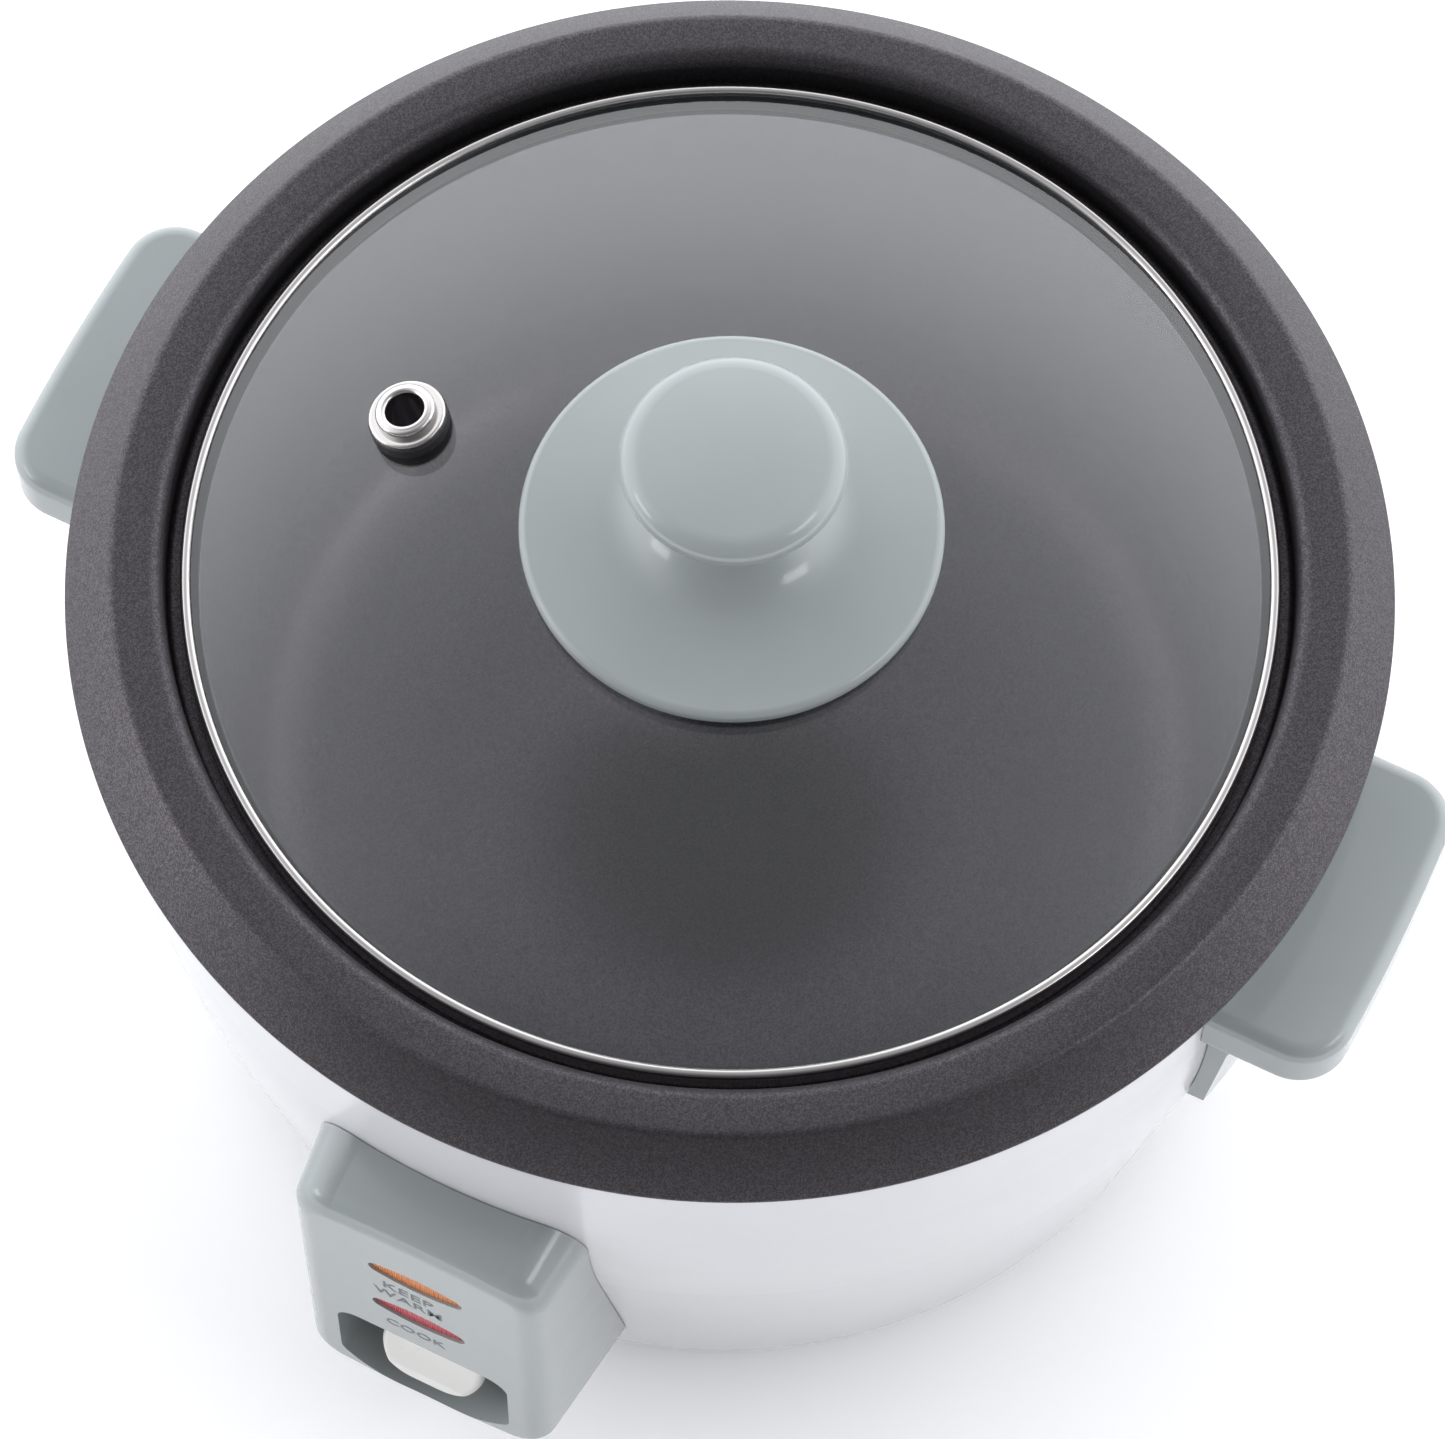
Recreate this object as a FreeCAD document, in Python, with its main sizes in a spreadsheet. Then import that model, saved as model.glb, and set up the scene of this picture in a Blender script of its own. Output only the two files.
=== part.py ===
import FreeCAD, Part
import math
import os
import re
import Sketcher

# A one-touch rice cooker: a painted steel body with a heat shield, a heating plate and a magnetic
# thermostat inside, a lift-out inner pan and a glass lid. Millimetres, +Z up, front at -Y.
# The origin is on the surface that the feet stand on, on the pan's axis.

SIZES = (
    # name, value, what it is
    ("body_radius", 116.5, "outside radius of the body's upper wall"),
    ("rim_radius", "=body_radius + 4.5", "outer lower edge of the pan's flange"),
    ("rim_height", 152, "height of that edge above the floor"),
    ("flange_rise", 10.1, "height of the flange's flat ring above its edge"),
    ("flange_flat", "=body_radius - 4.4", "radius where the flat ring turns down"),
    ("pan_radius", "=body_radius - 19.5", "inside radius of the pan's wall"),
    ("pan_depth", "=rim_height - 54", "flat ring down to the pan's floor"),
    ("pan_wall", 1.8, "thickness of the pan"),
    ("pan_corner", 18, "inside radius between floor and wall"),
    ("ledge_width", 5.6, "width of the ledge that the lid sits on"),
    ("ledge_drop", 9.5, "depth of the ledge below the flat ring"),
    ("ledge_round", 1.4, "rounding of the ledge's corners"),
    ("lip_round", 3, "rounding of the flange's inner lip"),
    ("flange_round", 8, "rounding between the flange's flat ring and its sloped band"),
    ("body_wall", 1, "thickness of the body's sheet steel"),
    ("foot_height", 8, "body's underside above the floor"),
    ("body_taper", 9.8, "lean of the body's lower wall, degrees"),
    ("bend_height", "=rim_height - 34", "height where the upper wall starts to lean"),
    ("bend_curve", 222, "radius of that bend"),
    ("body_corner", 7, "outside radius of the body's lower corner"),
    ("bend_radius", "=body_radius - bend_curve * (1 - cos(body_taper * 1 deg))", "radius below the bend"),
    ("bend_low", "=bend_height - bend_curve * sin(body_taper * 1 deg)", "height of the bend's lower end"),
    ("corner_height", "=foot_height + body_corner * (1 - sin(body_taper * 1 deg))", "corner's upper end"),
    ("corner_radius", "=bend_radius - (bend_low - corner_height) * tan(body_taper * 1 deg)", "radius there"),
    ("underside", "=corner_radius - body_corner * cos(body_taper * 1 deg)", "radius of the flat underside"),
    ("base_lip", "=underside - 8.9", "radius of the hole in the body's underside"),
    ("base_radius", "=underside - 1.9", "radius of the base plate"),
    ("shoulder_round", 2.5, "outside radius of the body's top shoulder"),
    ("shoulder_height", "=rim_height + 0.5", "top of the body"),
    ("shoulder_opening", "=pan_radius + ledge_width + 2.8", "radius of the opening in the body's top"),
    ("foot_radius", 7, "radius of a rubber foot"),
    ("foot_circle", "=base_lip - foot_radius - 2", "radius of the circle of feet"),
    ("base_wall", 1.2, "thickness of the base plate"),
    ("vent_start", 28, "base plate's vent slots, from the axis to their near ends"),
    ("vent_end", 52, "base plate's vent slots, from the axis to their far ends"),
    ("vent_half", 2, "half the width of a vent slot"),
    ("shield_radius", "=pan_radius + ledge_width + 2.4", "inside radius of the heat shield's wall"),
    ("shield_wall", 0.8, "thickness of the heat shield"),
    ("shield_floor", "=rim_height + flange_rise - pan_depth - 22.1", "underside of the heat shield"),
    ("shield_corner", 20, "outside radius of the heat shield's lower corner"),
    ("shield_hole", 21, "radius of the hole in the heat shield's floor"),
    ("plate_radius", "=pan_radius - 19", "radius of the heating plate"),
    ("plate_wall", 8, "thickness of the heating plate"),
    ("plate_hole", 16, "radius of the hole for the sensor"),
    ("element_circle", "=plate_radius - 23", "radius of the heating element's ring"),
    ("element_radius", 3.5, "radius of the element's tube"),
    ("element_gap", 30, "angle left open between the element's ends, degrees"),
    ("terminal_radius", 1.5, "radius of the element's terminal pins"),
    ("spacer_circle", "=plate_radius - 10", "radius of the circle of plate spacers"),
    ("spacer_radius", 5, "radius of a plate spacer"),
    ("post_radius", 4, "radius of a base post"),
    ("post_circle", "=base_lip - post_radius - 2", "radius of the circle of base posts"),
    ("screw_radius", 2, "radius of the machine screws"),
    ("head_radius", 3.8, "radius of the screws' heads"),
    ("head_height", 2, "height of the screws' heads"),
    ("sensor_radius", 15, "radius of the sensor's cap"),
    ("sensor_skirt", 12, "outside radius of the cap's skirt"),
    ("sensor_wall", 1.5, "thickness of the cap"),
    ("ferrite_height", 5.8, "height of the ferrite core"),
    ("sleeve_radius", 13.5, "outside radius of the thermostat's sleeve"),
    ("sleeve_wall", 1, "thickness of the sleeve"),
    ("sleeve_flange", 19, "radius of the sleeve's flange"),
    ("magnet_radius", 9.5, "radius of the magnet"),
    ("magnet_height", 5, "height of the magnet"),
    ("magnet_travel", 5.5, "rise of the magnet as the switch is pressed"),
    ("sensor_travel", 1.5, "how far the sensor can still sink under the pan"),
    ("rod_radius", 3, "radius of the magnet holder's rod"),
    ("spring_wire", 0.35, "radius of the springs' wire"),
    ("lever_height", "=shield_floor - 10.5", "underside of the lever"),
    ("lever_wall", 2, "thickness of the lever"),
    ("lever_width", 12, "width of the lever"),
    ("pivot_distance", "=base_radius - 31", "magnet's axis to the lever's pivot"),
    ("pin_radius", 1.5, "radius of the lever's pivot pin"),
    ("barrel_radius", 3.5, "radius of the lever's barrel"),
    ("front_distance", "=body_radius + 13", "body's axis to the face of the switch housing"),
    ("housing_depth", 40, "depth of the housing, from its face to its back edge"),
    ("housing_width", 50.5, "width of the switch housing's face"),
    ("housing_bottom", 23, "lowest point of the housing's face"),
    ("housing_top", "=rim_height - 36.5", "highest point of the housing's face"),
    ("housing_arch", 2.5, "rise of the housing's top edge"),
    ("housing_sag", 3, "sag of the housing's bottom edge"),
    ("housing_corner", 8, "radius of the housing's corners"),
    ("housing_edge", 5, "rounding of the housing's front edge"),
    ("housing_flare", 7, "flare of the housing towards the body, degrees"),
    ("housing_wall", 2.5, "thickness of the housing"),
    ("housing_screw", 18, "housing's screws from its middle"),
    ("window_half", 14, "half the width of the body's window behind the housing"),
    ("slot_width", 36, "width of the switch's slot"),
    ("slot_top", 58.5, "top of the slot"),
    ("slot_bottom", 26.7, "lowest point of the slot"),
    ("slot_depth", 9, "depth of the cup around the slot"),
    ("slot_curve", 22.8, "radius of the slot's lower edge"),
    ("slot_round", 5, "radius of the slot's corners"),
    ("tab_width", 21.6, "width of the switch's tab"),
    ("tab_height", 23, "height of the switch's tab"),
    ("tab_depth", 10, "depth of the switch's tab"),
    ("tab_corner", 8, "radius of the tab's lower corners"),
    ("tab_lean", 4, "how far the tab's top stands behind its lower edge"),
    ("lens_width", 17.2, "width of a lens between its rounded ends"),
    ("lens_tall", 6.4, "height of a lens at its middle"),
    ("lens_end", 3.6, "height of a lens at its ends"),
    ("lens_recess", 0.6, "depth of a lens behind the housing's face"),
    ("warm_height", "=housing_top - 22", "height of the upper lens"),
    ("cook_height", "=housing_top - 41.7", "height of the lower lens"),
    ("lamp_radius", 3, "radius of a lamp"),
    ("lamp_length", 16, "length of a lamp"),
    ("lamp_screw", "=lens_width / 2 + 7.4", "lamp holder's screws from its middle"),
    ("handle_reach", "=body_radius + 20.5", "body's axis to the end of a handle"),
    ("handle_root", "=body_radius - 14", "body's axis to the hidden edge of a handle"),
    ("handle_screw", 18, "handle's screws from its middle"),
    ("handle_width", 62, "width of a handle's grip"),
    ("handle_top", "=rim_height - 17", "top of a handle"),
    ("handle_wall", 13.5, "thickness of a handle's grip"),
    ("handle_corner", 10, "radius of the grip's corners"),
    ("handle_crown", 400, "radius of the grip's bowed end"),
    ("handle_under", 8, "radius of the hollow between the grip and its plate"),
    ("handle_edge", 3, "rounding of the grip's edges"),
    ("handle_shift", -2.5, "grip's middle, along Y"),
    ("plate_bottom", "=handle_top - 46", "lower end of a handle's mounting plate"),
    ("plate_reach", "=body_radius + 3.7", "radius of the face of the mounting plate"),
    ("inlet_height", 29, "middle of the power inlet"),
    ("inlet_width", 40, "width of the inlet's flange"),
    ("inlet_tall", 26, "height of the inlet's flange"),
    ("inlet_reach", "=body_radius - 8", "body's axis to the inlet's face"),
    ("block_width", 32, "width of the terminal block"),
    ("block_depth", 14, "depth of the terminal block"),
    ("block_middle", 55, "terminal block's middle, behind the axis"),
    ("block_pitch", 9, "spacing of the terminal screws"),
    ("fuse_offset", 45, "thermal fuse's middle from the axis"),
    ("warm_offset", 32, "keep-warm thermostat's middle from the axis"),
    ("ring_radius", "=pan_radius + 2.8", "outside radius of the lid's steel ring"),
    ("ring_lip", 1.5, "width of the ring's upper lip"),
    ("ring_ledge", 3.9, "width of the ring's lower lip"),
    ("ring_round", 0.9, "rounding of the ring's upper corner"),
    ("ring_wall", 0.8, "thickness of the ring"),
    ("glass_wall", 3.3, "thickness of the lid's glass"),
    ("glass_curve", 309, "radius of the glass dome's outer face"),
    ("knob_skirt", 38.2, "radius of the knob's skirt"),
    ("knob_head", 20.3, "radius of the knob's head"),
    ("knob_neck", 12, "radius of the knob's neck"),
    ("knob_height", 31, "height of the knob above the glass"),
    ("vent_distance", "=pan_radius - 34.3", "lid's axis to the steam vent"),
    ("vent_turn", 184.3, "direction of the steam vent, degrees from +X"),
    ("vent_bore", 3.5, "radius of the vent's hole"),
    ("vent_radius", 7.2, "radius of the vent's eyelet"),
    ("vent_seat", 2.4, "height of the vent's gasket above the glass"),
    ("fit_gap", 0.1, "gap between pieces that fit together"),
    ("move_gap", 0.3, "gap to a piece that moves"),
)

doc = FreeCAD.newDocument("rice_cooker")
sheet = doc.addObject("Spreadsheet::Sheet", "Sizes")
for row, (alias, value, meaning) in enumerate(SIZES, 1):
    sheet.set("A%d" % row, alias)
    sheet.set("B%d" % row, str(value))
    sheet.set("C%d" % row, meaning)
    sheet.setAlias("B%d" % row, alias)
doc.recompute()
NAMES = {alias for alias, value, meaning in SIZES}
subparts = []


def bound(text):
    """An expression in which each size's name is read from the sheet."""
    return re.sub(r"[a-z_]+", lambda word: "Sizes." + word[0] if word[0] in NAMES else word[0], str(text))


def size(text):
    """The number that an expression comes to."""
    value = sheet.evalExpression(bound(text))
    return float(getattr(value, "Value", value))


# Heights, radii and places that several pieces share.
flange_top = "(rim_height + flange_rise)"
pan_floor = "(rim_height + flange_rise - pan_depth)"
plate_top = "(rim_height + flange_rise - pan_depth - pan_wall)"
plate_under = "(rim_height + flange_rise - pan_depth - pan_wall - plate_wall)"
ledge_height = "(rim_height + flange_rise - ledge_drop)"
riser_radius = "(pan_radius + ledge_width)"
base_top = "(foot_height + body_wall + base_wall)"
shield_top = "(shoulder_height - body_wall)"
shield_inside = "(shield_floor + shield_wall)"
glass_edge = "(ring_radius - ring_wall - fit_gap)"
glass_low = f"({ledge_height} + ring_wall + fit_gap)"
glass_rim = (f"({glass_low} + sqrt(glass_curve ^ 2 - {glass_edge} ^ 2)"
             f" - sqrt((glass_curve - glass_wall) ^ 2 - {glass_edge} ^ 2))")
glass_apex = f"({glass_rim} + glass_curve - sqrt(glass_curve ^ 2 - {glass_edge} ^ 2))"
knob_hole = "(screw_radius + 1)"
lean = "(body_taper * 1 deg)"
pivot_height = "(lever_height + lever_wall / 2)"
face = "(-front_distance)"


def new_body(name):
    """An empty body for one sub-part, which may hold several like solids."""
    body = doc.addObject("PartDesign::Body", name)
    body.Label = name
    if hasattr(body, "AllowCompound"):
        body.AllowCompound = True
    subparts.append(body)
    return body


def put(part, x="0", y="0", z="0"):
    """Moves a sub-part by expressions."""
    for axis, text in (("x", x), ("y", y), ("z", z)):
        part.setExpression("Placement.Base." + axis, bound(text))


def sketch_on(body, plane, start="0"):
    """A sketch on one of the body's own planes, moved along the plane's normal."""
    sketch = body.newObject("Sketcher::SketchObject", body.Label + "_outline")
    support = [item for item in body.Origin.OriginFeatures if item.Role == plane][0]
    sketch.AttachmentSupport = [(support, "")]
    sketch.MapMode = "FlatFace"
    sketch.setExpression("AttachmentOffset.Base.z", bound(start))
    return sketch


def fix_point(sketch, curve, end, point, texts):
    """Holds one end of a curve at a place given by two expressions."""
    for kind, value, text in zip(("DistanceX", "DistanceY"), point, texts):
        index = sketch.addConstraint(Sketcher.Constraint(kind, -1, 1, curve, end, value))
        sketch.setExpression("Constraints[%d]" % index, bound(text))


def arc_between(first, last, radius):
    """The short arc from first to last; a positive radius bulges to the right of the way."""
    chord = last - first
    half = chord.Length / 2
    side = FreeCAD.Vector(chord.y, -chord.x, 0).normalize() * math.copysign(1, radius)
    rise = abs(radius) - math.sqrt(max(radius * radius - half * half, 0))
    middle = (first + last) / 2 + side * rise
    return Part.Arc(first, middle, last) if radius > 0 else Part.Arc(last, middle, first)


def draw(sketch, corners):
    """A closed outline. A corner is (x, y), or (x, y, radius) where an arc leads to the next one."""
    points = [FreeCAD.Vector(size(corner[0]), size(corner[1]), 0) for corner in corners]
    first = sketch.GeometryCount
    count = len(corners)
    starts = []
    ends = []
    for index, corner in enumerate(corners):
        here = points[index]
        there = points[(index + 1) % count]
        if len(corner) == 3:
            radius = size(corner[2])
            curve = sketch.addGeometry(arc_between(here, there, radius), False)
            starts.append((curve, 1 if radius > 0 else 2))
            ends.append((curve, 2 if radius > 0 else 1))
        else:
            curve = sketch.addGeometry(Part.LineSegment(here, there), False)
            starts.append((curve, 1))
            ends.append((curve, 2))
    for index, corner in enumerate(corners):
        follower = starts[(index + 1) % count]
        sketch.addConstraint(Sketcher.Constraint("Coincident", *ends[index], *follower))
        fix_point(sketch, *starts[index], (points[index].x, points[index].y), corner[:2])
        if len(corner) == 3:
            radius = abs(size(corner[2]))
            number = sketch.addConstraint(Sketcher.Constraint("Radius", first + index, radius))
            sketch.setExpression("Constraints[%d]" % number, "abs(" + bound(corner[2]) + ")")


def draw_circle(sketch, x, y, radius):
    """A circle whose middle and radius are expressions."""
    middle = FreeCAD.Vector(size(x), size(y), 0)
    curve = sketch.addGeometry(Part.Circle(middle, FreeCAD.Vector(0, 0, 1), size(radius)), False)
    fix_point(sketch, curve, 3, (middle.x, middle.y), (x, y))
    number = sketch.addConstraint(Sketcher.Constraint("Radius", curve, size(radius)))
    sketch.setExpression("Constraints[%d]" % number, bound(radius))


def turned(body, corners, remove=False):
    """Adds, or removes, an outline of (radius, height) corners turned about the body's Z axis."""
    kind = "PartDesign::Groove" if remove else "PartDesign::Revolution"
    sketch = sketch_on(body, "XZ_Plane")
    draw(sketch, corners)
    feature = body.newObject(kind, body.Label + "_turned")
    feature.Profile = sketch
    feature.ReferenceAxis = (sketch, ["V_Axis"])
    feature.Angle = 360
    return feature


def run(body, kind, sketch, length, taper=None):
    """A pad or pocket along the sketch's normal."""
    feature = body.newObject("PartDesign::" + kind, body.Label + "_" + kind.lower())
    feature.Profile = sketch
    feature.setExpression("Length", bound(length))
    feature.Reversed = kind == "Pocket"
    if taper:
        feature.setExpression("TaperAngle", bound(taper))
    return feature


def add(body, plane, corners, start, length, taper=None):
    """Adds an outline carried along a plane's normal from start."""
    sketch = sketch_on(body, plane, start)
    draw(sketch, corners)
    return run(body, "Pad", sketch, length, taper)


def cut(body, plane, corners, start, length):
    """Removes an outline carried along a plane's normal from start."""
    sketch = sketch_on(body, plane, start)
    draw(sketch, corners)
    return run(body, "Pocket", sketch, length)


def add_rods(body, plane, places, radius, start, length):
    """Adds round rods along a plane's normal."""
    sketch = sketch_on(body, plane, start)
    for x, y in places:
        draw_circle(sketch, x, y, radius)
    return run(body, "Pad", sketch, length)


def cut_holes(body, plane, places, radius, start, length):
    """Removes round holes along a plane's normal."""
    sketch = sketch_on(body, plane, start)
    for x, y in places:
        draw_circle(sketch, x, y, radius)
    return run(body, "Pocket", sketch, length)


def box(left, right, low, high):
    """The four corners of a rectangle."""
    return [(left, low), (right, low), (right, high), (left, high)]


def round_edges(body, chosen, radius):
    """Rounds the edges of the body's last feature that a test picks by their middles."""
    doc.recompute()
    tip = body.Tip
    names = []
    for number, edge in enumerate(tip.Shape.Edges, 1):
        middle = edge.valueAt((edge.FirstParameter + edge.LastParameter) / 2)
        if chosen(edge, middle):
            names.append("Edge%d" % number)
    fillet = body.newObject("PartDesign::Fillet", body.Label + "_rounding")
    fillet.Base = (tip, names)
    fillet.setExpression("Radius", bound(radius))
    return fillet


def around(circle, angles):
    """Places on a circle about the axis, by angles in degrees from +X."""
    return [(f"{circle} * cos({angle} * 1 deg)", f"{circle} * sin({angle} * 1 deg)") for angle in angles]


def wall_curve(inset):
    """The body's outside wall from its lower corner to its top, moved in by inset."""
    across = f"{inset} * cos({lean})"
    along = f"{inset} * sin({lean})"
    return [
        ("underside", f"foot_height + {inset}", f"body_corner - {inset}"),
        (f"corner_radius - {across}", f"corner_height + {along}"),
        (f"bend_radius - {across}", f"bend_low + {along}", f"bend_curve - {inset}"),
        (f"body_radius - {inset}", "bend_height"),
    ]


def clear_of_wall(body):
    """Cuts a piece that sits on the outside of the body to fit its wall."""
    turned(body, [("0", "foot_height")] + wall_curve("-fit_gap") + [
        ("body_radius + fit_gap", flange_top),
        ("0", flange_top),
    ], remove=True)


def screws(name, places, under_head, length, radius="screw_radius", head="head_radius"):
    """Upright screws with their heads below: a shank up from under_head."""
    body = new_body(name)
    add_rods(body, "XY_Plane", places, head, f"{under_head} - head_height", "head_height")
    add_rods(body, "XY_Plane", places, radius, under_head, length)
    return body


def coil(name, radius, low, high, turns):
    """A helical spring about the axis, from low to high."""
    inside_low = f"({low} + spring_wire)"
    path = doc.addObject("Part::Helix", name + "_path")
    path.setExpression("Height", bound(f"{high} - {low} - 2 * spring_wire"))
    path.setExpression("Pitch", bound(f"({high} - {low} - 2 * spring_wire) / {turns}"))
    path.setExpression("Radius", bound(radius))
    path.setExpression("Placement.Base.z", bound(inside_low))
    section = doc.addObject("Part::Circle", name + "_wire")
    section.setExpression("Radius", bound("spring_wire"))
    section.Placement = FreeCAD.Placement(FreeCAD.Vector(), FreeCAD.Rotation(FreeCAD.Vector(1, 0, 0), 90))
    section.setExpression("Placement.Base.x", bound(radius))
    section.setExpression("Placement.Base.z", bound(inside_low))
    spring = doc.addObject("Part::Sweep", name)
    spring.Sections = [section]
    spring.Spine = (path, [])
    spring.Solid = True
    spring.Frenet = True
    spring.Label = name
    subparts.append(spring)
    return spring


# Inner pan: pressed aluminium with a ledge for the lid and a flange that hangs over the body.
pan = new_body("inner_pan")
band_slope = "sqrt(flange_rise ^ 2 + (rim_radius - flange_flat) ^ 2) / flange_rise"
band_angle = "atan(flange_rise / (rim_radius - flange_flat))"
turn_in = f"(flange_round * tan({band_angle} / 2))"
turned(pan, [
    ("0", pan_floor),
    ("pan_radius - pan_corner", pan_floor, "pan_corner"),
    ("pan_radius", f"{pan_floor} + pan_corner"),
    ("pan_radius", f"{ledge_height} - ledge_round", "-ledge_round"),
    ("pan_radius + ledge_round", ledge_height),
    (f"{riser_radius} - ledge_round", ledge_height, "ledge_round"),
    (riser_radius, f"{ledge_height} + ledge_round"),
    (riser_radius, f"{flange_top} - lip_round", "-lip_round"),
    (f"{riser_radius} + lip_round", flange_top),
    (f"flange_flat - {turn_in}", flange_top, "-flange_round"),
    (f"flange_flat + {turn_in} * cos({band_angle})", f"{flange_top} - {turn_in} * sin({band_angle})"),
    ("rim_radius", "rim_height"),
    (f"rim_radius - pan_wall * {band_slope}", "rim_height"),
    ("flange_flat - pan_wall * 0.7", f"{flange_top} - pan_wall"),
    (f"{riser_radius} + lip_round", f"{flange_top} - pan_wall", "lip_round - pan_wall"),
    (f"{riser_radius} + pan_wall", f"{flange_top} - lip_round"),
    (f"{riser_radius} + pan_wall", f"{ledge_height} - pan_wall"),
    ("pan_radius + pan_wall", f"{ledge_height} - pan_wall"),
    ("pan_radius + pan_wall", f"{pan_floor} + pan_corner", "-(pan_corner + pan_wall)"),
    ("pan_radius - pan_corner", plate_top),
    ("0", plate_top),
])

# Lid: a domed glass disc in a rolled steel ring, with a steam vent and a moulded knob.
glass = new_body("lid_glass")
turned(glass, [
    (knob_hole, f"{glass_apex} - glass_curve + sqrt((glass_curve - glass_wall) ^ 2 - {knob_hole} ^ 2)",
     "-(glass_curve - glass_wall)"),
    (glass_edge, glass_low),
    (glass_edge, glass_rim, "glass_curve"),
    (knob_hole, f"{glass_apex} - glass_curve + sqrt(glass_curve ^ 2 - {knob_hole} ^ 2)"),
])
vent_x = "(vent_distance * cos(vent_turn * 1 deg))"
vent_y = "(vent_distance * sin(vent_turn * 1 deg))"
vent_hole = "(vent_bore + 1.9)"
cut_holes(glass, "XY_Plane", [(vent_x, vent_y)], vent_hole, ledge_height, f"{glass_apex} - {ledge_height}")

ring = new_body("lid_rim_ring")
ring_top = f"({glass_rim} + ring_wall)"
lip_rise = "((ring_lip - ring_round) / 3)"
turned(ring, [
    ("ring_radius - ring_ledge", ledge_height),
    ("ring_radius", ledge_height),
    ("ring_radius", f"{ring_top} - ring_round", "ring_round"),
    ("ring_radius - ring_round", ring_top),
    ("ring_radius - ring_lip", f"{ring_top} + {lip_rise}"),
    ("ring_radius - ring_lip", f"{ring_top} + {lip_rise} - ring_wall + fit_gap"),
    ("ring_radius - ring_wall", f"{ring_top} - ring_wall + fit_gap"),
    ("ring_radius - ring_wall", f"{ledge_height} + ring_wall"),
    ("ring_radius - ring_ledge", f"{ledge_height} + ring_wall"),
])

knob = new_body("lid_knob")
skirt_drop = "(glass_curve - sqrt(glass_curve ^ 2 - (knob_skirt - 1.2) ^ 2))"
knob_base = f"({glass_apex} + fit_gap)"
head_middle = f"({glass_apex} + knob_height - 5)"
turned(knob, [
    ("screw_radius + fit_gap", knob_base, "-(glass_curve + fit_gap)"),
    ("knob_skirt - 1.2", f"{knob_base} - {skirt_drop}", "1.6"),
    ("knob_skirt", f"{knob_base} - {skirt_drop} + 1.2"),
    ("knob_skirt", f"{knob_base} - {skirt_drop} + 1.9", "1.6"),
    ("knob_skirt - 1.6", f"{knob_base} - {skirt_drop} + 3.5"),
    ("knob_skirt * 0.6", f"{knob_base} + 3.2", "-14"),
    ("knob_neck", f"{knob_base} + 11"),
    ("knob_neck", f"{head_middle} - 9.5", "-5"),
    ("knob_head - 4.2", f"{head_middle} - 4", "4.6"),
    ("knob_head", head_middle, "4.6"),
    ("knob_head - 3.8", f"{head_middle} + 3.6", "((knob_head - 3.8) ^ 2 + 1.4 ^ 2) / (2 * 1.4)"),
    ("0.5", f"{glass_apex} + knob_height"),
    ("0", f"{glass_apex} + knob_height"),
    ("0", f"{knob_base} + 14"),
    ("screw_radius + fit_gap", f"{knob_base} + 14"),
])

seal = new_body("knob_washer")
knob_under = f"({glass_apex} - glass_wall - fit_gap)"
turned(seal, [
    ("screw_radius + fit_gap", f"{knob_under} - 1.2"),
    ("10", f"{knob_under} - 1.2"),
    ("10", f"{knob_under} - 0.2"),
    ("screw_radius + fit_gap", f"{knob_under} - 0.2"),
])
screws("knob_screw", [("0", "0")], f"({knob_under} - 1.2)", f"{knob_base} + 12 - {knob_under}",
       head="head_radius + 2")


def tilt_on_glass(part):
    """Stands a vent piece on the dome, square to the glass."""
    slope = math.degrees(math.asin(size("vent_distance / glass_curve")))
    turn = FreeCAD.Rotation(FreeCAD.Vector(0, 0, 1), size("vent_turn"))
    part.Placement.Rotation = turn.multiply(FreeCAD.Rotation(FreeCAD.Vector(0, 1, 0), slope))
    put(part, vent_x, vent_y, f"{glass_apex} - glass_curve + sqrt(glass_curve ^ 2 - vent_distance ^ 2)")


gasket = new_body("vent_gasket")
turned(gasket, [
    ("vent_bore + 0.8", "-glass_wall - 1.6"),
    ("vent_radius", "-glass_wall - 1.6"),
    ("vent_radius", "-glass_wall - fit_gap"),
    ("vent_bore + 1.3", "-glass_wall - fit_gap"),
    ("vent_bore + 1.3", "fit_gap"),
    ("vent_radius + 0.2", "fit_gap"),
    ("vent_radius + 0.2", "vent_seat - 0.4", "0.4"),
    ("vent_radius - 0.2", "vent_seat"),
    ("vent_bore + 0.8", "vent_seat"),
])
tilt_on_glass(gasket)
eyelet = new_body("vent_eyelet")
turned(eyelet, [
    ("vent_bore", "-glass_wall - 2.2"),
    ("vent_radius - 0.8", "-glass_wall - 2.2"),
    ("vent_radius - 0.8", "-glass_wall - 1.6"),
    ("vent_bore + 0.7", "-glass_wall - 1.6"),
    ("vent_bore + 0.7", "vent_seat + fit_gap"),
    ("vent_radius", "vent_seat + fit_gap"),
    ("vent_radius", "vent_seat + 0.6", "0.6"),
    ("vent_radius - 0.6", "vent_seat + 1.2"),
    ("vent_radius - 1.6", "vent_seat + 1.2"),
    ("vent_radius - 1.6", "vent_seat + 2.1", "0.9"),
    ("vent_radius - 2.5", "vent_seat + 3", "0.8"),
    ("vent_bore", "vent_seat + 2.2"),
])
tilt_on_glass(eyelet)

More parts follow.
